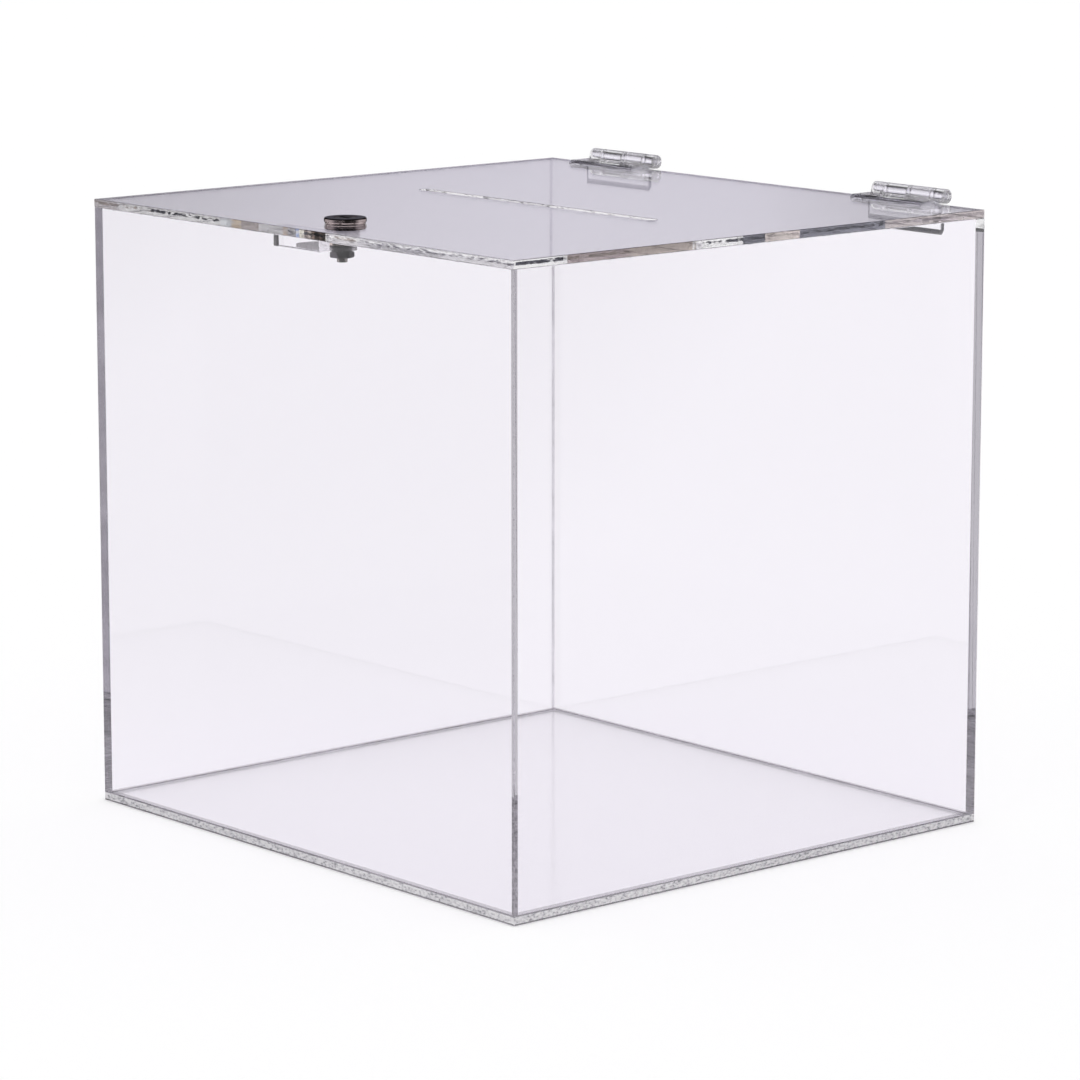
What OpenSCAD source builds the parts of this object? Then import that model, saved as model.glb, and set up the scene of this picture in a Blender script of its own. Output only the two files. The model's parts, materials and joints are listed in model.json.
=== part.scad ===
// A lockable ballot box of clear sheet, with a slotted lid on two clear hinges and a cam lock in the lid.
// X runs along the lock side, Y from the lock side to the hinge side, Z is up.
// The origin is the middle of the underside.

/* [Case] */
// Width of the case along the lock side
case_w = 314; // [240:1:400]
// Depth of the case from the lock side to the hinge side
case_d = 295; // [200:1:400]
// Height of the case with its lid closed
case_h = 300; // [150:1:420]
// Thickness of the clear sheet
sheet_t = 4; // [3:0.5:5]
// Bevel along the edges of the lid and the lower edges of the base
edge_bevel = 0.4; // [0.2:0.1:0.8]
// Gap between the lid and the hinge leaves on the back wall
lid_back_gap = 0.4; // [0.2:0.1:1]

/* [Ballot slot] */
// Length of the slot over its round ends
slot_l = 172; // [100:1:190]
// Width of the slot
slot_w = 6; // [5:0.5:12]

/* [Hinges] */
// Distance from each side of the case to the middle of its hinge
hinge_inset = 53; // [40:1:70]
// Length of a hinge along its pin
hinge_l = 48; // [40:1:60]
// Length of the short knuckle at the end of a leaf
end_knuckle_l = 8; // [6:0.5:12]
// Gap between neighbouring knuckles
knuckle_gap = 0.6; // [0.4:0.1:1]
// Diameter of the knuckles
knuckle_d = 7; // [6:0.5:9]
// Length of a leaf from the pin axis to its free edge
leaf_l = 18; // [15:0.5:25]
// Thickness of a leaf
leaf_t = 2; // [1.5:0.1:2.5]
// Radius of the free corners of a leaf
leaf_corner_r = 0.6; // [0.4:0.1:3]
// Thickness of a leaf at its free edge
leaf_edge_t = 0.6; // [0.4:0.1:1]
// Length over which a leaf thins towards its free edge
leaf_taper_l = 2.3; // [1:0.1:4]
// Diameter of the hinge pin
pin_d = 3; // [2:0.5:4]
// Radial clearance of the pin in the lid's leaf
pin_clearance = 0.05; // [0.02:0.01:0.1]
// Depth of the pin's ends below the ends of the knuckles
pin_recess = 0.3; // [0.1:0.1:0.8]

/* [Catch block] */
// Length of the catch block on the front wall
catch_l = 34; // [24:1:60]
// Depth of the catch block from the front wall
catch_d = 6.4; // [5:0.2:8]
// Bevel along the lower edge of the catch block
catch_bevel = 0.5; // [0.3:0.1:1]
// Gap between the locked cam and the catch block above it
catch_gap = 0.9; // [0.5:0.1:1.2]

/* [Lock housing] */
// Distance from the front of the case to the lock axis
lock_inset = 31; // [29:0.5:45]
// Diameter of the lock head
head_d = 20; // [18:0.5:24]
// Height of the lock head above the lid
head_h = 2.7; // [2.2:0.1:4]
// Bevel around the top of the lock head
head_bevel = 0.5; // [0.3:0.1:0.8]
// Depth of the neck turned under the rim of the head
head_undercut = 0.4; // [0.2:0.1:0.8]
// Diameter of the barrel under the head
barrel_d = 13.5; // [13:0.5:15]
// Distance across the two flats of the barrel
barrel_flats = 11.8; // [11.4:0.1:12.4]
// Length of the barrel under the head
barrel_l = 9.8; // [9.5:0.1:12]
// Radial clearance of the barrel in the lid
barrel_clearance = 0.2; // [0.1:0.05:0.4]
// Width across the flats of the mounting nut
mounting_nut_af = 16.5; // [16:0.5:21]
// Height of the mounting nut
mounting_nut_h = 2.4; // [2:0.1:3.6]
// Bevel on the corners of the mounting nut
mounting_nut_bevel = 0.5; // [0.3:0.1:0.8]
// Radial clearance in the threads of the nuts
thread_clearance = 0.05; // [0.02:0.01:0.1]
// Angle that the stop on the barrel's end takes up
barrel_stop_a = 100; // [80:5:110]
// Angle that the lock turns through, from open to locked
lock_turn_a = 90; // [80:5:100]

/* [Lock core] */
// Diameter of the plug's face
plug_face_d = 11; // [10:0.5:12]
// Thickness of the plug's face
plug_face_h = 1.2; // [0.8:0.1:1.6]
// Depth of the plug's face below the top of the head
plug_recess = 0.15; // [0.1:0.05:0.3]
// Diameter of the plug's barrel
plug_d = 9.4; // [9:0.1:9.8]
// Radial clearance around the plug
plug_clearance = 0.05; // [0.02:0.01:0.1]
// Width of the keyway
keyway_w = 2.2; // [1.8:0.1:2.4]
// Length of the keyway across the plug
keyway_l = 7.2; // [6:0.1:7.4]
// Solid length of the plug behind the keyway
plug_back_l = 1.2; // [0.8:0.1:1.6]
// Number of wafers in the plug
wafer_count = 4; // [2:1:4]
// Thickness of a wafer
wafer_t = 1; // [0.6:0.1:1.2]
// Distance from one wafer to the next
wafer_pitch = 1.9; // [1.7:0.1:2]
// Width of a wafer
wafer_w = 4.2; // [3.8:0.1:4.4]
// Length of the window in a wafer that the key passes through
wafer_window_l = 6.2; // [5:0.1:6.8]
// Clearance around a wafer in its pocket
wafer_clearance = 0.05; // [0.03:0.01:0.1]
// Depth of the grooves in the housing that the wafers spring into
wafer_groove_d = 0.6; // [0.4:0.1:0.8]
// Thickness of the stop washer
stop_washer_t = 1; // [0.8:0.1:1.4]
// Radial width of the stop on the barrel's end
stop_w = 1; // [0.8:0.05:1.1]
// Radial clearance between the stop and the washer that turns inside it
stop_clearance = 0.1; // [0.05:0.01:0.2]
// Gap between the turning washer and the barrel's end
end_play = 0.05; // [0.02:0.01:0.1]
// Play between the stops at each end of the turn, in degrees
stop_play_a = 0.5; // [0.3:0.1:1]
// Width across the flats of the plug's square tail
tail_af = 5.5; // [5:0.1:6]
// Diameter over the rounded corners of the square tail
tail_corner_d = 7; // [6.4:0.1:7.4]
// Clearance of the square holes on the tail
tail_clearance = 0.05; // [0.03:0.01:0.1]
// Diameter of the threaded stud at the end of the tail
stud_d = 5; // [4:0.5:5]
// Length of the stud that stands out of the nut
stud_proud = 2.2; // [1:0.1:3]

/* [Cam] */
// Width of the cam
cam_w = 14; // [12:0.5:16]
// Thickness of the cam
cam_t = 1.6; // [1.2:0.1:2]
// Radius of the corners at the cam's tip
cam_corner_r = 4; // [2:0.5:5]
// Gap between the front wall and the tip of the locked cam
cam_wall_gap = 3; // [1:0.5:4]
// Outer diameter of the spring washer
spring_washer_d = 9.4; // [8:0.2:10]
// Diameter of the spring washer's hole
spring_washer_bore_d = 5.2; // [5.1:0.1:5.6]
// Thickness of the spring washer
spring_washer_t = 0.9; // [0.6:0.1:1.2]
// Width of the cut in the spring washer
spring_washer_cut = 0.8; // [0.5:0.1:1.2]
// Width across the flats of the cam nut
cam_nut_af = 10; // [8:0.5:11]
// Height of the cam nut
cam_nut_h = 2.6; // [2:0.1:4]
// Bevel on the corners of the cam nut
cam_nut_bevel = 0.35; // [0.2:0.05:0.6]

/* [Hidden] */

$fn = 64;
// Extra length of a cutting shape past the face that it cuts
past = 1;

// Sheet panels
wall_top_z = case_h - sheet_t;
wall_h = wall_top_z - sheet_t;
inner_d = case_d - 2 * sheet_t;
lid_d = case_d - lid_back_gap;
lid_mid_y = -lid_back_gap / 2;

// Hinges
hinge_axis_y = case_d / 2 + knuckle_d / 2;
hinge_axis_z = case_h + knuckle_d / 2;
// Where one knuckle ends and the next begins, from the middle of the hinge
knuckle_joints = [0, hinge_l / 2 - end_knuckle_l];

// Lock, measured down from the top of the lid
lock_y = -case_d / 2 + lock_inset;
barrel_end_z = case_h - barrel_l;
stop_washer_z = barrel_end_z - stop_washer_t;
cam_z = stop_washer_z - cam_t;
spring_washer_z = cam_z - spring_washer_t;
cam_nut_z = spring_washer_z - cam_nut_h;
stud_end_z = cam_nut_z - stud_proud;
plug_top_z = case_h + head_h - plug_recess;
plug_seat_z = plug_top_z - plug_face_h;
keyway_end_z = barrel_end_z + plug_back_l;
first_wafer_z = plug_seat_z - wafer_pitch - wafer_t;
stop_inner_r = barrel_d / 2 - stop_w;
// The stop on the barrel is on the +Y side
barrel_stop_start_a = 90 - barrel_stop_a / 2;
barrel_stop_end_a = 90 + barrel_stop_a / 2;
lug_start_a = barrel_stop_end_a + stop_play_a;
lug_end_a = barrel_stop_start_a + 360 - lock_turn_a - stop_play_a;
// The cam points along -X when open and along -Y when locked
open_a = 180;
cam_l = lock_inset - sheet_t - cam_wall_gap;

// Catch block
catch_z = stop_washer_z + catch_gap;
catch_h = wall_top_z - catch_z;

// Colours
clear_sheet = [0.93, 0.92, 0.96, 0.35];
clear_moulding = [0.88, 0.88, 0.92, 0.5];
gunmetal = [0.16, 0.14, 0.14];
plated_steel = [0.66, 0.65, 0.66];
dull_steel = [0.35, 0.34, 0.36];
brass = [0.72, 0.58, 0.32];

// A rectangle that stands on the X axis, with its two lower corners cut off
module eased_section(width, height) {
    polygon([
        [-width / 2 + edge_bevel, 0], [width / 2 - edge_bevel, 0], [width / 2, edge_bevel],
        [width / 2, height], [-width / 2, height], [-width / 2, edge_bevel]
    ]);
}

// A flat sheet with its lower edges bevelled
module eased_sheet(width, depth, height) {
    intersection() {
        rotate([90, 0, 0]) linear_extrude(height = depth, center = true) eased_section(width, height);
        rotate([90, 0, 90]) linear_extrude(height = width, center = true) eased_section(depth, height);
    }
}

// A slice of a flat ring from angle a to angle b
module ring_slice(inner_r, outer_r, height, a, b) {
    rotate(a) rotate_extrude(angle = b - a) translate([inner_r, 0]) square([outer_r - inner_r, height]);
}

// A hexagonal nut standing on the XY plane, with bevelled corners and a plain bore
module nut(af, height, bore_d, bevel) {
    corner_r = af / 2 / cos(30);
    difference() {
        intersection() {
            cylinder(h = height, r = corner_r, $fn = 6);
            rotate_extrude() polygon([
                [0, 0], [corner_r - bevel, 0], [corner_r, bevel],
                [corner_r, height - bevel], [corner_r - bevel, height], [0, height]
            ]);
        }
        translate([0, 0, -past]) cylinder(h = height + 2 * past, d = bore_d);
    }
}

module base_plate() {
    color(clear_sheet) eased_sheet(case_w, case_d, sheet_t);
}

// The front and back walls run the full width and hold the side walls between them
module end_wall(side) {
    color(clear_sheet)
    translate([-case_w / 2, side * (case_d - sheet_t) / 2 - sheet_t / 2, sheet_t])
    cube([case_w, sheet_t, wall_h]);
}

module side_wall(side) {
    color(clear_sheet)
    translate([side * (case_w - sheet_t) / 2 - sheet_t / 2, -inner_d / 2, sheet_t])
    cube([sheet_t, inner_d, wall_h]);
}

module front_wall() {
    end_wall(-1);
}

module back_wall() {
    end_wall(1);
}

module left_wall() {
    side_wall(-1);
}

module right_wall() {
    side_wall(1);
}

// The block that the locked cam turns under, glued inside the front wall
module catch_block() {
    color(clear_sheet)
    translate([0, -case_d / 2 + sheet_t, catch_z])
    rotate([90, 0, 90])
    linear_extrude(height = catch_l, center = true)
    polygon([
        [0, 0], [catch_d - catch_bevel, 0], [catch_d, catch_bevel],
        [catch_d, catch_h], [0, catch_h]
    ]);
}

module slot_outline() {
    square([slot_l - slot_w, slot_w], center = true);
    for (side = [-1, 1]) translate([side * (slot_l - slot_w) / 2, 0]) circle(d = slot_w);
}

module lid() {
    color(clear_sheet)
    difference() {
        translate([0, lid_mid_y, wall_top_z])
        intersection() {
            eased_sheet(case_w, lid_d, sheet_t);
            translate([0, 0, sheet_t]) rotate([180, 0, 0]) eased_sheet(case_w, lid_d, sheet_t);
        }
        translate([0, 0, wall_top_z - past]) linear_extrude(height = sheet_t + 2 * past) slot_outline();
        translate([0, lock_y, wall_top_z - past])
        cylinder(h = sheet_t + 2 * past, d = barrel_d + 2 * barrel_clearance);
    }
}

// Where a leaf's own knuckles are, as pairs of ends along the pin
function own_knuckles() = [
    [-knuckle_joints[1] + knuckle_gap / 2, -knuckle_gap / 2],
    [knuckle_joints[1] + knuckle_gap / 2, hinge_l / 2]
];

// The plan of a leaf: a plate with two round corners, and a tongue to each of its own knuckles
module leaf_plan() {
    plate_l = leaf_l - knuckle_d / 2 - knuckle_gap;
    translate([-hinge_l / 2, -leaf_l + leaf_corner_r]) square([hinge_l, plate_l - leaf_corner_r]);
    translate([-hinge_l / 2 + leaf_corner_r, -leaf_l]) square([hinge_l - 2 * leaf_corner_r, plate_l]);
    for (side = [-1, 1])
        translate([side * (hinge_l / 2 - leaf_corner_r), -leaf_l + leaf_corner_r])
        circle(r = leaf_corner_r);
    for (ends = own_knuckles())
        translate([ends[0], -leaf_l + leaf_corner_r]) square([ends[1] - ends[0], leaf_l - leaf_corner_r]);
}

// The section of a leaf's plate, seen along the pin, thinned towards its free edge
module leaf_section() {
    polygon([
        [-leaf_l, -knuckle_d / 2], [0, -knuckle_d / 2], [0, -knuckle_d / 2 + leaf_t],
        [-leaf_l + leaf_taper_l, -knuckle_d / 2 + leaf_t], [-leaf_l, -knuckle_d / 2 + leaf_edge_t]
    ]);
}

// A leaf that lies along -Y from a pin on the X axis, its flat face level with the bottom of its knuckles
module leaf(bore_d) {
    color(clear_moulding)
    difference() {
        union() {
            intersection() {
                rotate([90, 0, 90])
                linear_extrude(height = hinge_l + 2 * past, center = true)
                leaf_section();
                translate([0, 0, -knuckle_d]) linear_extrude(height = 2 * knuckle_d) leaf_plan();
            }
            for (ends = own_knuckles())
                translate([ends[0], 0, 0])
                rotate([0, 90, 0])
                cylinder(h = ends[1] - ends[0], d = knuckle_d);
        }
        rotate([0, 90, 0]) cylinder(h = hinge_l + 2 * past, d = bore_d, center = true);
    }
}

module at_hinge(side) {
    translate([side * (case_w / 2 - hinge_inset), hinge_axis_y, hinge_axis_z]) children();
}

// The lid's leaf turns on the pin
module lid_leaf(side) {
    at_hinge(side) leaf(pin_d + 2 * pin_clearance);
}

// The wall's leaf is the same moulding turned over, and grips the pin
module wall_leaf(side) {
    at_hinge(side) rotate(a = 180, v = [0, 1, 1]) leaf(pin_d);
}

module hinge_pin(side) {
    color(clear_moulding)
    at_hinge(side) rotate([0, 90, 0]) cylinder(h = hinge_l - 2 * pin_recess, d = pin_d, center = true);
}

module at_lock(z) {
    translate([0, lock_y, z]) children();
}

// The outline of the barrel: a circle with two flats
module barrel_outline() {
    intersection() {
        circle(d = barrel_d);
        square([barrel_flats, 2 * barrel_d], center = true);
    }
}

// The head and the barrel, bored for the plug, with the grooves for the wafers and the stop on its end
module lock_housing() {
    head_r = head_d / 2;
    color(gunmetal)
    difference() {
        union() {
            at_lock(case_h) rotate_extrude() polygon([
                [0, 0], [head_r - head_undercut, 0], [head_r - head_undercut, head_undercut],
                [head_r, 2 * head_undercut], [head_r, head_h - head_bevel],
                [head_r - head_bevel, head_h], [0, head_h]
            ]);
            at_lock(barrel_end_z) linear_extrude(height = barrel_l) barrel_outline();
            at_lock(stop_washer_z)
            ring_slice(
                stop_inner_r, barrel_d / 2, stop_washer_t + past,
                barrel_stop_start_a, barrel_stop_end_a
            );
        }
        at_lock(barrel_end_z - past)
        cylinder(h = barrel_l + head_h, d = plug_d + 2 * plug_clearance);
        at_lock(plug_seat_z - plug_clearance)
        cylinder(h = plug_face_h + plug_recess + past, d = plug_face_d + 2 * plug_clearance);
        at_lock(barrel_end_z - past)
        linear_extrude(height = plug_seat_z - plug_clearance - barrel_end_z + past - wafer_t)
        square([wafer_w + 2 * wafer_clearance, plug_d + 2 * wafer_groove_d], center = true);
    }
}

module lock_mounting_nut() {
    color(dull_steel)
    at_lock(wall_top_z - mounting_nut_h)
    nut(mounting_nut_af, mounting_nut_h, barrel_d + 2 * thread_clearance, mounting_nut_bevel);
}

// The pocket of each wafer, counted down from the plug's face
module at_wafers() {
    for (i = [0:wafer_count - 1]) at_lock(first_wafer_z - i * wafer_pitch) children();
}

function wafer_l() = 2 * sqrt(pow(plug_d / 2, 2) - pow(wafer_w / 2, 2));

module tail_outline() {
    intersection() {
        square(tail_af, center = true);
        circle(d = tail_corner_d);
    }
}

// The plug turns with the key: face, barrel, square tail and threaded stud
module lock_plug() {
    tail_end_z = cam_z + tail_clearance;
    color(brass)
    difference() {
        union() {
            at_lock(plug_seat_z) cylinder(h = plug_face_h, d = plug_face_d);
            at_lock(barrel_end_z) cylinder(h = plug_seat_z - barrel_end_z, d = plug_d);
            at_lock(tail_end_z) linear_extrude(height = barrel_end_z - tail_end_z) tail_outline();
            at_lock(stud_end_z) cylinder(h = tail_end_z - stud_end_z, d = stud_d);
        }
        at_lock(keyway_end_z)
        linear_extrude(height = plug_top_z - keyway_end_z + past)
        square([keyway_l, keyway_w], center = true);
        at_wafers()
        translate([-plug_d, -wafer_w / 2 - wafer_clearance, -wafer_clearance])
        cube([2 * plug_d, wafer_w + 2 * wafer_clearance, wafer_t + 2 * wafer_clearance]);
    }
}

// The wafers, drawn in level with the plug as the key holds them, each with a window for the key
module lock_wafers() {
    wafer_end = wafer_l() / 2 - wafer_clearance;
    color(brass)
    at_wafers()
    linear_extrude(height = wafer_t)
    difference() {
        square([2 * wafer_end, wafer_w], center = true);
        square([wafer_window_l, keyway_w], center = true);
    }
}

// The washer on the square tail whose lug meets the stop on the barrel at each end of the turn
module lock_stop_washer() {
    washer_h = stop_washer_t - end_play;
    color(dull_steel)
    at_lock(stop_washer_z)
    difference() {
        union() {
            cylinder(h = washer_h, r = stop_inner_r - stop_clearance);
            ring_slice(tail_af / 2, barrel_d / 2, washer_h, lug_start_a, lug_end_a);
        }
        translate([0, 0, -past])
        linear_extrude(height = washer_h + 2 * past)
        square(tail_af + 2 * tail_clearance, center = true);
    }
}

// The cam as it lies in the open lock, with a round end on the tail and a blunt tip
module lock_cam() {
    color(plated_steel)
    at_lock(cam_z)
    rotate(open_a)
    linear_extrude(height = cam_t)
    difference() {
        union() {
            circle(d = cam_w);
            translate([0, -cam_w / 2]) square([cam_l - cam_corner_r, cam_w]);
            translate([0, -cam_w / 2 + cam_corner_r]) square([cam_l, cam_w - 2 * cam_corner_r]);
            for (side = [-1, 1])
                translate([cam_l - cam_corner_r, side * (cam_w / 2 - cam_corner_r)])
                circle(r = cam_corner_r);
        }
        square(tail_af + 2 * tail_clearance, center = true);
    }
}

module lock_spring_washer() {
    color(dull_steel)
    at_lock(spring_washer_z)
    linear_extrude(height = spring_washer_t)
    difference() {
        circle(d = spring_washer_d);
        circle(d = spring_washer_bore_d);
        translate([0, -spring_washer_cut / 2]) square([spring_washer_d, spring_washer_cut]);
    }
}

module lock_cam_nut() {
    color(dull_steel)
    at_lock(cam_nut_z) nut(cam_nut_af, cam_nut_h, stud_d + 2 * thread_clearance, cam_nut_bevel);
}

base_plate();
front_wall();
back_wall();
left_wall();
right_wall();
catch_block();
lid();
wall_leaf(-1);  // hinge_left_wall_leaf
lid_leaf(-1);  // hinge_left_lid_leaf
hinge_pin(-1);  // hinge_left_pin
wall_leaf(1);  // hinge_right_wall_leaf
lid_leaf(1);  // hinge_right_lid_leaf
hinge_pin(1);  // hinge_right_pin
lock_housing();
lock_mounting_nut();
lock_plug();
lock_wafers();
lock_stop_washer();
lock_cam();
lock_spring_washer();
lock_cam_nut();
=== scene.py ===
import json
import math

import bmesh
import bpy
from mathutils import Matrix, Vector
from mathutils.geometry import delaunay_2d_cdt


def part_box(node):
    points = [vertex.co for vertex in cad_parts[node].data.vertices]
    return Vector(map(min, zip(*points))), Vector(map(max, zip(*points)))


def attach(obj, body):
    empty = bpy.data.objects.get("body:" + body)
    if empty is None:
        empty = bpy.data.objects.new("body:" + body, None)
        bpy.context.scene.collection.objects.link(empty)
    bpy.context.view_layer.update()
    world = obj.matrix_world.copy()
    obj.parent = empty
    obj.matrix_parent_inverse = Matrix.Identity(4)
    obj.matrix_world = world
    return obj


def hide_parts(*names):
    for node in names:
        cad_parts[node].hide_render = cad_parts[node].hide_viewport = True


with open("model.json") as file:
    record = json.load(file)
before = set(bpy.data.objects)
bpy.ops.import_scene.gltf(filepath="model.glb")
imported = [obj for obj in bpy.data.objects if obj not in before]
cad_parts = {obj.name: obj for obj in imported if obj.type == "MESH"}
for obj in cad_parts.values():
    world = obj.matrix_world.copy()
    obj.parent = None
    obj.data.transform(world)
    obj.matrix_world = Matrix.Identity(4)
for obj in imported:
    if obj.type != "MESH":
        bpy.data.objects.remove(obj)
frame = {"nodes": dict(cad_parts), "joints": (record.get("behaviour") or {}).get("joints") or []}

nodes = frame["nodes"]
scene = bpy.context.scene
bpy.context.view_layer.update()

MM = 0.001
# Half the gap that keeps glued faces from lying in one plane
SEAM = 0.005 * MM
# Half the thickness of the flat boxes that mark glued areas
TOUCH = 0.007 * MM
# Gap between pieces that only lie against each other
AIR = 0.02 * MM
# How far the glue under a hinge leaf stops short of the leaf's edges
GLUE_INSET = 0.9 * MM
# Rounding of the sheets' edges
EDGE_EASE = 0.3 * MM
# How high cement shows on the inside of a wall, above the base
CEMENT_RISE = 1.3 * MM
# Height of the painted shade line along the foot of the base, standing in for its contact shadow
FOOT_SHADE_RISE = 0.8 * MM
# Slots of a clear piece: its polished faces, its cut edges, and the areas where glue joins it to the next piece
FACE, CUT, GLUED = range(3)
# More slots of the sheets of the case: joints that show as a grey line, cement beside them, and the painted shade along
# the foot of the base
JOINT_LINE, CEMENT, FOOT_SHADE = 3, 4, 5
# of the lid: its front and right edges
FRONT, RIGHT = 3, 4
# and of a hinge leaf: its flat faces
FLAT = 3


# Materials


def link(tree, source, target):
    tree.links.new(source, target)


def new_material(name):
    material = bpy.data.materials.new(name)
    material.use_nodes = True
    tree = material.node_tree
    return material, tree, tree.nodes["Principled BSDF"]


def place_in(tree):
    """The piece's own coordinates, which are the frame's at rest."""
    place = tree.nodes.new("ShaderNodeTexCoord")
    split = tree.nodes.new("ShaderNodeSeparateXYZ")
    link(tree, place.outputs["Object"], split.inputs["Vector"])
    return split.outputs


def noise_in(tree, scale, detail, stretch=(1.0, 1.0, 1.0)):
    """Noise in the piece's own coordinates."""
    place = tree.nodes.new("ShaderNodeTexCoord")
    mapping = tree.nodes.new("ShaderNodeMapping")
    noise = tree.nodes.new("ShaderNodeTexNoise")
    mapping.inputs["Scale"].default_value = stretch
    noise.inputs["Scale"].default_value = scale
    noise.inputs["Detail"].default_value = detail
    link(tree, place.outputs["Object"], mapping.inputs["Vector"])
    link(tree, mapping.outputs["Vector"], noise.inputs["Vector"])
    return noise.outputs["Fac"]


def add_bump(tree, shader, height, strength, distance):
    bump = tree.nodes.new("ShaderNodeBump")
    bump.inputs["Strength"].default_value = strength
    bump.inputs["Distance"].default_value = distance
    link(tree, height, bump.inputs["Height"])
    link(tree, bump.outputs["Normal"], shader.inputs["Normal"])
    return bump


def spread(tree, value, low, high, start=0.0, end=1.0):
    """Maps low to high onto start to end, and holds it there beyond."""
    mapped = tree.nodes.new("ShaderNodeMapRange")
    for name, number in (("From Min", low), ("From Max", high), ("To Min", start), ("To Max", end)):
        mapped.inputs[name].default_value = number
    link(tree, value, mapped.inputs["Value"])
    return mapped.outputs["Result"]


def sum_up(tree, operation, *terms):
    """The terms, which are sockets or numbers, put together by one operation."""
    math_node = tree.nodes.new("ShaderNodeMath")
    math_node.operation = operation
    for term, socket in zip(terms, math_node.inputs):
        if isinstance(term, float):
            socket.default_value = term
        else:
            link(tree, term, socket)
    return math_node.outputs["Value"]


def colours(tree, value, stops, steady=False):
    """Colours along a value from 0 to 1, each held until the next one if steady."""
    ramp = tree.nodes.new("ShaderNodeValToRGB")
    if steady:
        ramp.color_ramp.interpolation = "CONSTANT"
    elements = ramp.color_ramp.elements
    for at, colour in stops[2:]:
        elements.new(at)
    for element, (at, colour) in zip(elements, stops):
        element.position = at
        element.color = (*colour, 1.0)
    link(tree, value, ramp.inputs["Fac"])
    return ramp.outputs["Color"]


def blend(tree, factor, low, high):
    """Two colours, each a socket or three numbers, mixed by a factor."""
    mix = tree.nodes.new("ShaderNodeMixRGB")
    link(tree, factor, mix.inputs["Fac"])
    for colour, socket in ((low, mix.inputs["Color1"]), (high, mix.inputs["Color2"])):
        if isinstance(colour, tuple):
            socket.default_value = (*colour, 1.0)
        else:
            link(tree, colour, socket)
    return mix.outputs["Color"]


def darken(tree, colour, by):
    """A colour times another."""
    mix = tree.nodes.new("ShaderNodeMixRGB")
    mix.blend_type = "MULTIPLY"
    mix.inputs["Fac"].default_value = 1.0
    link(tree, colour, mix.inputs["Color1"])
    link(tree, by, mix.inputs["Color2"])
    return mix.outputs["Color"]


def clear_plastic(name, tint, level, rim=None, clear=1.0, gloss=1.0, roughness=0.0):
    """Polished clear plastic. level scales what it mirrors, rim is a painted shade: the colour it takes where it turns
    away, standing in for dark outlines, and gloss is less than 1 where the gloss of a flat face seen at a low angle
    would hide what lies under it."""
    material, tree, shader = new_material(name)
    shader.inputs["Base Color"].default_value = (*tint, 1.0)
    shader.inputs["Roughness"].default_value = roughness
    shader.inputs["IOR"].default_value = 1.49
    shader.inputs["Specular IOR Level"].default_value = level
    shader.inputs["Transmission Weight"].default_value = clear
    shader.inputs["Alpha"].default_value = gloss
    # Painted shade: the colour darkens to the rim colour where the face turns away
    if rim:
        turn = tree.nodes.new("ShaderNodeLayerWeight")
        turn.inputs["Blend"].default_value = 0.5
        edge_on = spread(tree, turn.outputs["Facing"], 0.45, 0.85)
        link(tree, blend(tree, edge_on, tint, rim), shader.inputs["Base Color"])
    add_bump(tree, shader, noise_in(tree, 12.0, 2.0), 0.05, 0.05 * MM)
    return material


def cut_plastic(name, tint, tone=None, roughness=0.03, clear=1.0):
    """The sawn and polished edge of a clear sheet: rippled, with painted dark specks standing in for reflections. tone
    gives its colour and its painted speckle.
    """
    material, tree, shader = new_material(name)
    shader.inputs["Roughness"].default_value = roughness
    shader.inputs["IOR"].default_value = 1.49
    shader.inputs["Transmission Weight"].default_value = clear
    # Painted dark specks in the edge's colour, standing in for dark reflections
    colour = tone(tree) if tone else colours(
        tree, noise_in(tree, 420.0, 3.0, (1.0, 1.0, 2.0)), [(0.31, (0.15, 0.14, 0.16)), (0.43, tint)]
    )
    link(tree, colour, shader.inputs["Base Color"])
    ripple = noise_in(tree, 500.0, 3.0, (1.0, 1.0, 0.4))
    add_bump(tree, shader, ripple, 0.15, 0.25 * MM)
    return material


def painted_reflection_speckles(tree, along, bands, low_z, high_z):
    """Painted reflections and glints along a lid edge: bands of (place in metres, light colour, dark colour, how much
    is dark).
    """
    start, end = bands[0][0], bands[-1][0]
    reach = end - start
    where = spread(tree, along, start, end)
    stops = [((at - start) / reach, light) for at, light, dark, share in bands]
    light = colours(tree, where, stops, True)
    dark = colours(tree, where, [((at - start) / reach, dark) for at, light, dark, share in bands], True)
    share = colours(tree, where, [((at - start) / reach, (share,) * 3) for at, light, dark, share in bands], True)
    grain = noise_in(tree, 330.0, 3.0, (1.0, 1.0, 3.0))
    # The painted reflections gather as speckle above the middle of the edge
    rise = spread(tree, place_in(tree)["Z"], low_z, high_z)
    profile = [(0.3, 0.0), (0.45, 0.5), (0.75, 0.5), (0.88, 0.1)]
    upper = sum_up(tree, "SUBTRACT", colours(tree, rise, [(at, (much,) * 3) for at, much in profile]), 0.45)
    level = sum_up(tree, "ADD", sum_up(tree, "ADD", grain, upper), share)
    return blend(tree, spread(tree, level, 0.93, 1.03), light, dark)


def glue(name, tints=None):
    """Lets rays pass from one clear piece into the next as if they were one, or tinted between two colours."""
    material, tree, shader = new_material(name)
    passing = tree.nodes.new("ShaderNodeBsdfTransparent")
    output = tree.nodes["Material Output"]
    tree.nodes.remove(shader)
    if tints:
        link(tree, colours(tree, noise_in(tree, 60.0, 3.0), tints), passing.inputs["Color"])
    link(tree, passing.outputs["BSDF"], output.inputs["Surface"])
    return material


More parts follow.
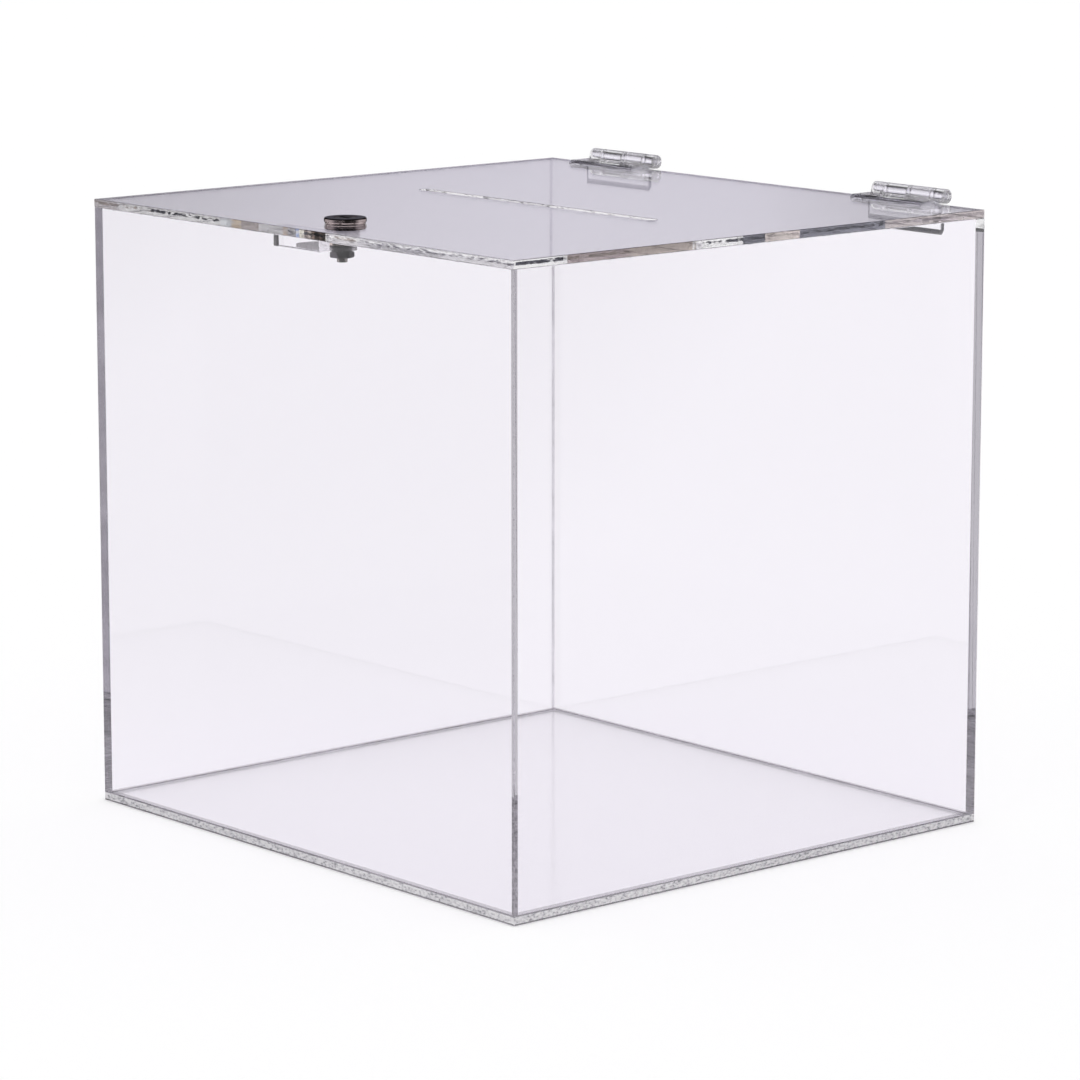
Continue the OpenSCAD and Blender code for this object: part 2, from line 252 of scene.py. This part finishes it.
def metal(name, low, high, roughness, edge=1.0, grain=900.0, top=None):
    """Metal with a fine grain between two colours. edge scales its glare, and top is a painted shade: the colour of
    what faces up, standing in for the dark that it mirrors.
    """
    material, tree, shader = new_material(name)
    shader.inputs["Metallic"].default_value = 1.0
    shader.inputs["Specular Tint"].default_value = (edge, edge, edge, 1.0)
    shader.inputs["Roughness"].default_value = roughness
    noise = noise_in(tree, grain, 3.0)
    add_bump(tree, shader, noise, 0.1, 0.02 * MM)
    colour = colours(tree, noise, [(0.35, low), (0.65, high)])
    # Painted shade: faces that point up take the darker top colour
    if top:
        facing = tree.nodes.new("ShaderNodeTexCoord")
        split = tree.nodes.new("ShaderNodeSeparateXYZ")
        link(tree, facing.outputs["Normal"], split.inputs["Vector"])
        colour = blend(tree, spread(tree, split.outputs["Z"], 0.2, 0.6), colour, top)
    link(tree, colour, shader.inputs["Base Color"])
    return material


SHEET_TINT = (0.964, 0.950, 0.980)
BASE_TINT = (0.990, 0.982, 0.998)
LID_TINT = (0.956, 0.938, 0.988)
MOULDING_TINT = (0.97, 0.96, 0.99)
# Painted shade for the rims of the hinge mouldings
PAINTED_RIM_SHADE = (0.10, 0.09, 0.15)
clear_sheet = clear_plastic("clear_sheet", SHEET_TINT, 0.5)
clear_base = clear_plastic("clear_base", BASE_TINT, 0.5, roughness=0.1)
cement = clear_plastic("cement", (0.48, 0.46, 0.49), 0.5)
# A dark tint as painted shade along the foot of the base
base_foot_shade = clear_plastic("base_foot_shade", (0.22, 0.21, 0.23), 0.5)
clear_lid = clear_plastic("clear_lid", LID_TINT, 0.5)
cut_edge = cut_plastic("cut_edge", SHEET_TINT, roughness=0.06, clear=0.9)
clear_moulding = clear_plastic("clear_moulding", MOULDING_TINT, 0.5, PAINTED_RIM_SHADE)
flat_moulding = clear_plastic("flat_moulding", MOULDING_TINT, 0.5, gloss=0.4)
# Painted shade on the hinge leaves' cut edges: a near-black, barely clear taper on the wall leaves, and grey ends and
# sides on the lid leaves
moulding_taper_shade = clear_plastic("moulding_taper_shade", (0.004, 0.004, 0.012), 0.5, clear=0.1)
moulding_edge_shade = clear_plastic("moulding_edge_shade", (0.35, 0.34, 0.40), 0.5)
glued_joint = glue("glued_joint")
joint_line = glue("joint_line", [(0.35, (0.77, 0.76, 0.78)), (0.65, (0.88, 0.87, 0.89))])
# The lock head: a painted dark shade on its top, and a warm tint that stands in for brown reflections
bright_nickel = metal("bright_nickel", (0.62, 0.53, 0.48), (0.72, 0.63, 0.57), 0.06, 0.25, top=(0.11, 0.085, 0.08))
satin_nickel = metal("satin_nickel", (0.30, 0.28, 0.27), (0.42, 0.39, 0.37), 0.2, 0.25)
brass = metal("brass", (0.70, 0.52, 0.25), (0.80, 0.62, 0.32), 0.3)
plated_steel = metal("plated_steel", (0.30, 0.29, 0.30), (0.42, 0.41, 0.42), 0.2, 0.5)
dull_steel = metal("dull_steel", (0.05, 0.045, 0.05), (0.13, 0.12, 0.135), 0.2, 0.4)

# Painted reflections and glints on the lid's edges, as bands along X on the front edge and along Y on the right edge
BRIGHT = (1.0, 0.99, 1.0)
GREY = (0.62, 0.60, 0.64)
BLACK = (0.01, 0.01, 0.015)
BROWN = (0.22, 0.17, 0.15)
UMBER = (0.10, 0.075, 0.065)
SLATE = (0.09, 0.085, 0.11)
FRONT_REFLECTION_BANDS = [
    (-157.0 * MM, (0.85, 0.78, 0.78), BROWN, 0.46), (-139.0 * MM, BRIGHT, BROWN, 0.40),
    (-110.5 * MM, BRIGHT, BLACK, 0.47), (-84.0 * MM, BRIGHT, BLACK, 0.42),
    (-55.5 * MM, (0.88, 0.94, 1.0), GREY, 0.30), (-47.7 * MM, (1.0, 0.72, 0.45), BRIGHT, 0.40),
    (-40.0 * MM, (0.50, 0.42, 0.40), BROWN, 0.42), (-26.7 * MM, BRIGHT, GREY, 0.45),
    (-8.0 * MM, (0.75, 0.55, 0.42), GREY, 0.42), (-4.7 * MM, GREY, SLATE, 0.40),
    (1.3 * MM, (0.35, 0.48, 1.0), BRIGHT, 0.40), (4.6 * MM, (1.0, 0.95, 0.75), BRIGHT, 0.30),
    (8.5 * MM, BROWN, BLACK, 0.52), (23.8 * MM, BRIGHT, GREY, 0.42),
    (28.7 * MM, (0.90, 0.88, 0.88), BROWN, 0.44), (47.7 * MM, (0.88, 0.87, 0.90), SLATE, 0.42),
    (157.0 * MM, BRIGHT, SLATE, 0.42),
]
RIGHT_REFLECTION_BANDS = [
    (-147.5 * MM, BRIGHT, BRIGHT, 0.0), (-146.8 * MM, BRIGHT, BLACK, 0.58), (-119.4 * MM, BRIGHT, GREY, 0.40),
    (-117.2 * MM, (0.26, 0.19, 0.20), UMBER, 0.48), (-80.0 * MM, (0.32, 0.25, 0.22), BROWN, 0.46),
    (-41.8 * MM, BRIGHT, GREY, 0.35), (-34.1 * MM, BRIGHT, BLACK, 0.42), (-20.0 * MM, BRIGHT, BLACK, 0.50),
    (-11.5 * MM, (0.05, 0.05, 0.07), BLACK, 0.46), (2.6 * MM, (0.68, 0.55, 0.50), (0.40, 0.33, 0.30), 0.42),
    (24.4 * MM, (0.10, 0.10, 0.14), BLACK, 0.47), (80.3 * MM, (0.60, 0.50, 0.50), (0.25, 0.20, 0.22), 0.48),
    (147.5 * MM, BROWN, UMBER, 0.5),
]
lid_low, lid_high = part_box("lid")


def front_reflection_tone(tree):
    return painted_reflection_speckles(tree, place_in(tree)["X"], FRONT_REFLECTION_BANDS, lid_low.z, lid_high.z)


def right_reflection_tone(tree):
    return painted_reflection_speckles(tree, place_in(tree)["Y"], RIGHT_REFLECTION_BANDS, lid_low.z, lid_high.z)


def painted_edge_glints(tree):
    """Fine light and dark marks along a sawn edge, as painted glints and painted dark reflections."""
    grain = noise_in(tree, 620.0, 4.0, (1.0, 1.0, 1.8))
    return colours(tree, grain, [(0.3, (0.22, 0.22, 0.24)), (0.42, (0.66, 0.65, 0.68)), (0.6, (1.0, 0.99, 1.0))])


base_edge = cut_plastic("base_edge", BASE_TINT, painted_edge_glints, roughness=0.13, clear=0.5)
# The lid's front and right edges carry painted reflections and glints
lid_front_edge = cut_plastic("lid_front_edge", LID_TINT, front_reflection_tone)
lid_right_edge = cut_plastic("lid_right_edge", LID_TINT, right_reflection_tone)


# Pieces


def add_piece(name, bm, body, slot, materials, *replaced):
    mesh = bpy.data.meshes.new(name)
    bm.normal_update()
    bm.to_mesh(mesh)
    bm.free()
    for material in materials:
        mesh.materials.append(material)
    piece = bpy.data.objects.new(name, mesh)
    scene.collection.objects.link(piece)
    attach(piece, body)
    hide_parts(*replaced)
    return piece


def shared_area(one, other, inset=0.0):
    """The flat box where two CAD nodes touch, less an inset along its long sides."""
    (low_a, high_a), (low_b, high_b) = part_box(one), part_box(other)
    low, high = Vector(map(max, low_a, low_b)), Vector(map(min, high_a, high_b))
    for axis in range(3):
        grow = TOUCH if high[axis] - low[axis] < MM / 10 else -inset
        low[axis] -= grow
        high[axis] += grow
    return low, high


def holds(area, point):
    low, high = area
    return all(low[axis] <= point[axis] <= high[axis] for axis in range(3))


def grid_lines(low, high, areas, axis):
    """Where a box is cut along an axis, so that each glued area has faces of its own."""
    margin = MM / 10
    inside = {
        round(corner[axis], 7)
        for area in areas
        for corner in area
        if low[axis] + margin < corner[axis] < high[axis] - margin
    }
    return sorted({low[axis], high[axis], *inside})


def cement_strip(wall):
    """The strip along the foot of a wall's inside."""
    low, high = shared_area(wall, "base_plate")
    axis = 0 if high.x - low.x < high.y - low.y else 1
    inside = min(low[axis], high[axis], key=abs)
    low[axis], high[axis] = inside - TOUCH, inside + TOUCH
    high.z = low.z + CEMENT_RISE
    return low, high


def foot_shade_strip():
    """The band of painted shade round the foot of the base."""
    low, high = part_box("base_plate")
    reach = Vector((TOUCH, TOUCH, 0.0))
    low, high = low - reach, high + reach
    low.z, high.z = MM / 10, FOOT_SHADE_RISE
    return low, high


def sheet(node, cut_axes, joints, face_material=clear_sheet, edge_material=cut_edge):
    """A box the size of its CAD node, with eased edges, and windows where it is glued to other nodes: (area, slot)."""
    seam = Vector((SEAM, SEAM, SEAM))
    low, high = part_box(node)[0] + seam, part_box(node)[1] - seam
    areas = [area for area, kind in joints]
    lines = [grid_lines(low, high, areas, axis) for axis in range(3)]
    bm = bmesh.new()
    made = {}

    def corner(index):
        if index not in made:
            made[index] = bm.verts.new([lines[axis][index[axis]] for axis in range(3)])
        return made[index]

    for axis in range(3):
        u, v = (axis + 1) % 3, (axis + 2) % 3
        for end in (0, len(lines[axis]) - 1):
            for i in range(len(lines[u]) - 1):
                for j in range(len(lines[v]) - 1):
                    quad = []
                    for a, b in ((0, 0), (1, 0), (1, 1), (0, 1)):
                        index = [0, 0, 0]
                        index[axis], index[u], index[v] = end, i + a, j + b
                        quad.append(corner(tuple(index)))
                    face = bm.faces.new(quad if end else quad[::-1])
                    face.material_index = CUT if axis in cut_axes else FACE
                    for area, kind in joints:
                        if holds(area, face.calc_center_median()):
                            face.material_index = kind
    bm.normal_update()
    sharp = [
        edge
        for edge in bm.edges
        if edge.calc_face_angle() > 1.0 and not {face.material_index for face in edge.link_faces} & {GLUED, JOINT_LINE}
    ]
    bmesh.ops.bevel(
        bm, geom=sharp, offset=EDGE_EASE, offset_type="OFFSET", segments=2, profile=0.5,
        affect="EDGES", clamp_overlap=False, material=CUT,
    )
    # Eased edges at the very foot take the painted foot shade too
    for face in bm.faces:
        if face.material_index == CUT and face.calc_center_median().z < EDGE_EASE:
            face.material_index = FOOT_SHADE
    materials = (face_material, edge_material, glued_joint, joint_line, cement, base_foot_shade)
    return add_piece(node + "_clear", bm, "case", "clear_sheet", materials, node)


WALL_LEAVES = ("hinge_left_wall_leaf", "hinge_right_wall_leaf")
LID_LEAVES = ("hinge_left_lid_leaf", "hinge_right_lid_leaf")
WALLS = ("front_wall", "back_wall", "left_wall", "right_wall")


def joined(node, *others, inset=0.0, kind=GLUED):
    return [(shared_area(node, other, inset), kind) for other in others]


def wall(node, *joints):
    foot = joined(node, "base_plate", kind=JOINT_LINE) + [(cement_strip(node), CEMENT)]
    sheet(node, (2,), foot + sum(joints, []))


base_joints = joined("base_plate", *WALLS, kind=JOINT_LINE) + [(foot_shade_strip(), FOOT_SHADE)]
sheet("base_plate", (0, 1), base_joints, clear_base, base_edge)
wall("front_wall", joined("front_wall", "left_wall", "right_wall", "catch_block"))
wall(
    "back_wall", joined("back_wall", "left_wall", kind=JOINT_LINE), joined("back_wall", "right_wall"),
    joined("back_wall", *WALL_LEAVES, inset=GLUE_INSET),
)
wall("left_wall", joined("left_wall", "back_wall", kind=JOINT_LINE), joined("left_wall", "front_wall"))
wall("right_wall", joined("right_wall", "front_wall", "back_wall"))
sheet("catch_block", (0,), joined("catch_block", "front_wall"))


# Lid


def rectangle(low, high):
    """The outline of a rectangle, as a function of how far it is drawn in."""
    return lambda inset: [
        (low[0] + inset, low[1] + inset), (high[0] - inset, low[1] + inset),
        (high[0] - inset, high[1] - inset), (low[0] + inset, high[1] - inset),
    ]


def round_hole(centre, length, radius, steps=24):
    """The outline of a hole with round ends along X, as a function of how far it is widened, clockwise."""

    def outline(inset):
        points = []
        for side, start in ((1, 90.0), (-1, -90.0)):
            middle = centre[0] + side * (length / 2 - radius)
            for i in range(steps + 1):
                angle = math.radians(start - 180.0 * i / steps)
                reach = radius + inset
                points.append((middle + reach * math.cos(angle), centre[1] + reach * math.sin(angle)))
        return points if length > 2 * radius + MM / 10 else points[: steps + 1] + points[steps + 2 : -1]

    return outline


def encloses(points, x, y):
    """True if an outline runs round a point."""
    inside = False
    for (x0, y0), (x1, y1) in zip(points, points[1:] + points[:1]):
        if (y0 > y) != (y1 > y) and x < x0 + (x1 - x0) * (y - y0) / (y1 - y0):
            inside = not inside
    return inside


def fill(bm, outer, holes, windows, up):
    """A flat cap between the outer loop and the holes, whose faces inside a window are glued."""
    loops = [outer, *holes, *windows]
    verts = [vert for loop in loops for vert in loop]
    outlines = [[(vert.co.x, vert.co.y) for vert in loop] for loop in loops]
    edges = []
    start = 0
    for loop in loops:
        edges += [(start + i, start + (i + 1) % len(loop)) for i in range(len(loop))]
        start += len(loop)
    flat = [Vector(point) for outline in outlines for point in outline]
    _, _, triangles, origins, _, _ = delaunay_2d_cdt(flat, edges, [], 1, TOUCH)
    for triangle in triangles:
        corners = [verts[origins[i][0]] for i in triangle]
        x, y = (sum(vert.co[axis] for vert in corners) / 3 for axis in range(2))
        if any(encloses(outline, x, y) for outline in outlines[1 : 1 + len(holes)]):
            continue
        face = bm.faces.new(corners)
        face.normal_update()
        if (face.normal.z > 0) != up:
            face.normal_flip()
        if any(encloses(outline, x, y) for outline in outlines[1 + len(holes) :]):
            face.material_index = GLUED


def slab(outlines, low, high, ease, windows=(), steps=2):
    """A flat solid with eased edges from its outer outline and its holes, and glued windows in its top."""
    bm = bmesh.new()
    turns = [math.radians(90.0 * i / steps) for i in range(steps + 1)]
    rise = [(ease * (1 - math.cos(turn)), ease * (1 - math.sin(turn))) for turn in turns]
    levels = [(low + up, inset) for up, inset in rise] + [(high - up, inset) for up, inset in reversed(rise)]
    tops, bottoms = [], []
    for outline in outlines:
        rings = [[bm.verts.new((x, y, z)) for x, y in outline(inset)] for z, inset in levels]
        for ring, above in zip(rings, rings[1:]):
            for i, vert in enumerate(ring):
                following = (i + 1) % len(ring)
                bm.faces.new((vert, ring[following], above[following], above[i])).material_index = CUT
        bottoms.append(rings[0])
        tops.append(rings[-1])
    panes = [[bm.verts.new((x, y, high)) for x, y in rectangle(*window)(0.0)] for window in windows]
    fill(bm, tops[0], tops[1:], panes, True)
    fill(bm, bottoms[0], bottoms[1:], [], False)
    return bm


lock_axis = Vector(next(joint["pos_m"] for joint in frame["joints"] if joint["name"] == "lock_turn"))
SLOT_LENGTH = 172 * MM
SLOT_WIDTH = 6 * MM
LOCK_HOLE = 13.9 * MM
lid = slab(
    [
        rectangle(lid_low, lid_high),
        round_hole((0.0, 0.0), SLOT_LENGTH, SLOT_WIDTH / 2),
        round_hole((lock_axis.x, lock_axis.y), LOCK_HOLE, LOCK_HOLE / 2, 32),
    ],
    lid_low.z + AIR, lid_high.z, EDGE_EASE,
    [shared_area("lid", leaf, GLUE_INSET) for leaf in LID_LEAVES],
)
for face in lid.faces:
    middle = face.calc_center_median()
    if face.material_index == CUT and middle.y < lid_low.y + 2 * EDGE_EASE:
        face.material_index = FRONT
    elif face.material_index == CUT and middle.x > lid_high.x - 2 * EDGE_EASE:
        face.material_index = RIGHT
lid_materials = (clear_lid, cut_edge, glued_joint, lid_front_edge, lid_right_edge)
add_piece("lid_clear", lid, "lid", "clear_sheet", lid_materials, "lid")


# Hinge leaves


# How much of a leaf, from its free end, is the flat part
LEAF_REACH = 14 * MM


def hinge_leaf(node, body, sheet_node, axis, sign):
    """A leaf from its CAD node, drawn off the sheet that it is glued to and with a window in its flat face."""
    low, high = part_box(node)
    away = 1 if axis == 2 else 2

    def leaf_edge(middle, normal, flat):
        """True for the taper at the leaf's end and for its two short sides."""
        if middle[away] > low[away] + LEAF_REACH:
            return False
        return not flat or abs(normal.x) > 0.9 or abs(normal[away]) > 0.9

    bm = bmesh.new()
    bm.from_mesh(nodes[node].data)
    bmesh.ops.remove_doubles(bm, verts=bm.verts, dist=TOUCH)
    area = shared_area(sheet_node, node, GLUE_INSET)
    plane = area[0][axis] + TOUCH
    for across in range(3):
        if across == axis:
            continue
        normal = Vector([float(i == across) for i in range(3)])
        for corner in area:
            bmesh.ops.bisect_plane(
                bm, geom=bm.verts[:] + bm.edges[:] + bm.faces[:], dist=TOUCH, plane_co=corner, plane_no=normal
            )
    for face in bm.faces:
        middle, normal = face.calc_center_median(), face.normal
        flat = max(abs(turn) for turn in normal) > 0.999
        face.material_index = FLAT if flat else FACE
        if holds(area, middle):
            face.material_index = GLUED
        elif leaf_edge(middle, normal, flat):
            face.material_index = CUT
    for vert in bm.verts:
        if abs(vert.co[axis] - plane) < AIR / 2:
            vert.co[axis] += sign * AIR
    # The cut faces of the leaves take the painted shade
    materials = (clear_moulding, moulding_taper_shade if axis == 1 else moulding_edge_shade, glued_joint, flat_moulding)
    piece = add_piece(node + "_clear", bm, body, "clear_moulding", materials, node)
    smooth(piece)
    return piece


def smooth(piece, angle=30.0):
    """Smooth shading, with edges sharper than the angle kept."""
    mesh = piece.data
    mesh.shade_smooth()
    mesh.set_sharp_from_angle(angle=math.radians(angle))


for leaf in WALL_LEAVES:
    hinge_leaf(leaf, "case", "back_wall", 1, 1.0)
for leaf in LID_LEAVES:
    hinge_leaf(leaf, "lid", "lid", 2, 1.0)


def assign(material, *names):
    for name in names:
        mesh = nodes[name].data
        mesh.materials.clear()
        mesh.materials.append(material)


assign(clear_moulding, "hinge_left_pin", "hinge_right_pin")
assign(bright_nickel, "lock_housing")
assign(satin_nickel, "lock_plug")
assign(brass, "lock_wafers")
assign(plated_steel, "lock_cam")
assign(dull_steel, "lock_mounting_nut", "lock_stop_washer", "lock_spring_washer", "lock_cam_nut")


# World: white to the camera and low down, dim above, and plain for light on matt surfaces. What the object mirrors
# is dark on the side that the photograph was taken from

TAKEN_FROM = (0.7575, -0.6528)
TO_THE_RIGHT = (0.6528, 0.7575)
DARK_SIDE = 0.03
# How bright it is by how far a direction turns to that side
AROUND = [(0.2, 1.0), (0.6, DARK_SIDE)]
# and by how far it turns to the right of the photograph, as polished outsides mirror it and as it shows from inside
BESIDE = [
    (-1.0, 1.0), (-0.75, 1.0), (-0.6, 0.3), (-0.2, 0.3), (-0.09, 0.4), (-0.04, 0.87), (0.0, 1.0), (0.045, 1.0),
    (0.08, 0.4), (0.3, 0.6), (0.75, 1.0), (1.0, 1.0),
]
BESIDE_INSIDE = [(-1.0, 0.75), (-0.4, 0.9), (0.0, 1.0), (0.4, 0.95), (1.0, 0.8)]
# What is left of light after so many turns inside a sheet
FADING = [(10.0, (1.0, 1.0, 1.0)), (24.0, (0.86, 0.84, 0.87)), (38.0, (0.53, 0.515, 0.55))]
SEEN_START, SEEN_END, SEEN_TOP = 0.24, 0.45, 0.1
WHITE = (1.0, 1.0, 1.0)
# What polished outsides mirror, by height
MIRRORED = [(0.0, WHITE), (0.04, WHITE), (0.09, (0.40, 0.375, 0.46)), (0.16, (0.34, 0.323, 0.40)), (0.4, (0.04,) * 3)]


def reach_along(tree, place, way):
    """How far a place or direction lies along a level way."""
    across = sum_up(tree, "MULTIPLY", place["X"], way[0])
    return sum_up(tree, "ADD", across, sum_up(tree, "MULTIPLY", place["Y"], way[1]))


def by_turn(tree, place, way, stops):
    """Grey levels by how far a direction or place lies along a level way, from -1 to 1."""
    turn = spread(tree, reach_along(tree, place, way), -1.0, 1.0)
    return colours(tree, turn, [((at + 1) / 2, (much,) * 3) for at, much in stops])


def fading(tree, path):
    """Light that was turned back many times inside a sheet comes out dimmer."""
    reach = FADING[-1][0]
    turns = spread(tree, path.outputs["Glossy Depth"], 0.0, reach)
    return colours(tree, turns, [(count / reach, left) for count, left in FADING])


world = bpy.data.worlds.new("studio")
scene.world = world
world.use_nodes = True
sky_tree = world.node_tree
sky = sky_tree.nodes["Background"]
direction = sky_tree.nodes.new("ShaderNodeTexCoord")
split = sky_tree.nodes.new("ShaderNodeSeparateXYZ")
path = sky_tree.nodes.new("ShaderNodeLightPath")
link(sky_tree, direction.outputs["Generated"], split.inputs["Vector"])
height = split.outputs["Z"]
after_matt = sum_up(sky_tree, "GREATER_THAN", path.outputs["Diffuse Depth"], 0.5)
after_mirror = sum_up(sky_tree, "GREATER_THAN", path.outputs["Glossy Depth"], 0.5)
after_clear = sum_up(sky_tree, "GREATER_THAN", path.outputs["Transmission Depth"], 0.5)
seen = colours(sky_tree, height, [(SEEN_START, WHITE), (SEEN_END, (SEEN_TOP,) * 3)])
mirrored = blend(sky_tree, after_clear, colours(sky_tree, height, MIRRORED), seen)
beside = by_turn(sky_tree, split.outputs, TO_THE_RIGHT, BESIDE)
beside = blend(sky_tree, after_clear, beside, by_turn(sky_tree, split.outputs, TO_THE_RIGHT, BESIDE_INSIDE))
mirrored = darken(sky_tree, mirrored, beside)
mirrored = darken(sky_tree, mirrored, by_turn(sky_tree, split.outputs, TAKEN_FROM, AROUND))
shown = blend(sky_tree, after_mirror, seen, mirrored)
shown = darken(sky_tree, shown, fading(sky_tree, path))
shown = blend(sky_tree, after_matt, shown, WHITE)
link(sky_tree, blend(sky_tree, path.outputs["Is Camera Ray"], shown, WHITE), sky.inputs["Color"])

# Floor

FLOOR_DROP = 0.1 * MM
FLOOR_SIZE = 40.0
DARK_FLOOR_START, DARK_FLOOR_END = 0.3, 0.6
# What its colour lacks to white where it is seen
FLOOR_LIFT = 0.015
# How bright polished outsides mirror it by its place from left to right of the photograph, in metres
FLOOR_BESIDE = [(-0.6, 0.3), (-0.25, 1.0), (0.25, 1.0), (0.6, 0.8)]
bpy.ops.mesh.primitive_plane_add(size=FLOOR_SIZE, location=(0.0, 0.0, -FLOOR_DROP))
floor = bpy.context.object
floor.name = "floor"
floor_material, floor_tree, floor_shader = new_material("floor")
floor_path = floor_tree.nodes.new("ShaderNodeLightPath")
floor_mirrored = sum_up(floor_tree, "GREATER_THAN", floor_path.outputs["Glossy Depth"], 0.5)
floor_side = spread(
    floor_tree, reach_along(floor_tree, place_in(floor_tree), TAKEN_FROM), DARK_FLOOR_START, DARK_FLOOR_END
)
floor_dark = sum_up(floor_tree, "MULTIPLY", floor_mirrored, floor_side)
floor_clear = sum_up(floor_tree, "GREATER_THAN", floor_path.outputs["Transmission Depth"], 0.5)
floor_outside = sum_up(floor_tree, "SUBTRACT", floor_mirrored, floor_clear)
floor_beside = by_turn(floor_tree, place_in(floor_tree), TO_THE_RIGHT, FLOOR_BESIDE)
floor_colour = blend(floor_tree, floor_dark, WHITE, (DARK_SIDE,) * 3)
floor_colour = darken(floor_tree, floor_colour, blend(floor_tree, floor_outside, WHITE, floor_beside))
link(floor_tree, darken(floor_tree, floor_colour, fading(floor_tree, floor_path)), floor_shader.inputs["Base Color"])
floor_shader.inputs["Roughness"].default_value = 1.0
floor_shader.inputs["Specular IOR Level"].default_value = 0.0
# It shows white to the camera and through the sheets, but sends no light of its own to matt surfaces
floor_seen = sum_up(floor_tree, "SUBTRACT", 1.0, floor_path.outputs["Is Diffuse Ray"])
floor_shader.inputs["Emission Color"].default_value = (1.0, 1.0, 1.0, 1.0)
link(floor_tree, sum_up(floor_tree, "MULTIPLY", floor_seen, FLOOR_LIFT), floor_shader.inputs["Emission Strength"])
floor.data.materials.append(floor_material)

# Camera, fitted to the photograph: where it stands, and its lens on a square sensor

CAMERA_AT = Vector((1.7030, -1.4645, 0.5577))
CAMERA_AZIMUTH = 49.248
CAMERA_ELEVATION = 10.643
SENSOR = 36.0
LENS = 4687.9 / 1080.0 * SENSOR
camera_data = bpy.data.cameras.new("camera")
camera_data.sensor_width = SENSOR
camera_data.lens = LENS
camera = bpy.data.objects.new("camera", camera_data)
scene.collection.objects.link(camera)
camera.location = CAMERA_AT
azimuth, elevation = math.radians(CAMERA_AZIMUTH), math.radians(CAMERA_ELEVATION)
away = Vector((-math.sin(azimuth) * math.cos(elevation), math.cos(azimuth) * math.cos(elevation), -math.sin(elevation)))
camera.rotation_mode = "QUATERNION"
camera.rotation_quaternion = away.to_track_quat("-Z", "Y")
scene.camera = camera
scene.view_settings.view_transform = "Standard"

# Light passes many times through the clear sheets
BOUNCES = 96
scene.cycles.max_bounces = BOUNCES
scene.cycles.glossy_bounces = BOUNCES
scene.cycles.transmission_bounces = BOUNCES
scene.cycles.transparent_max_bounces = BOUNCES
# and is not blurred on the way back from the floor
scene.cycles.blur_glossy = 0.0
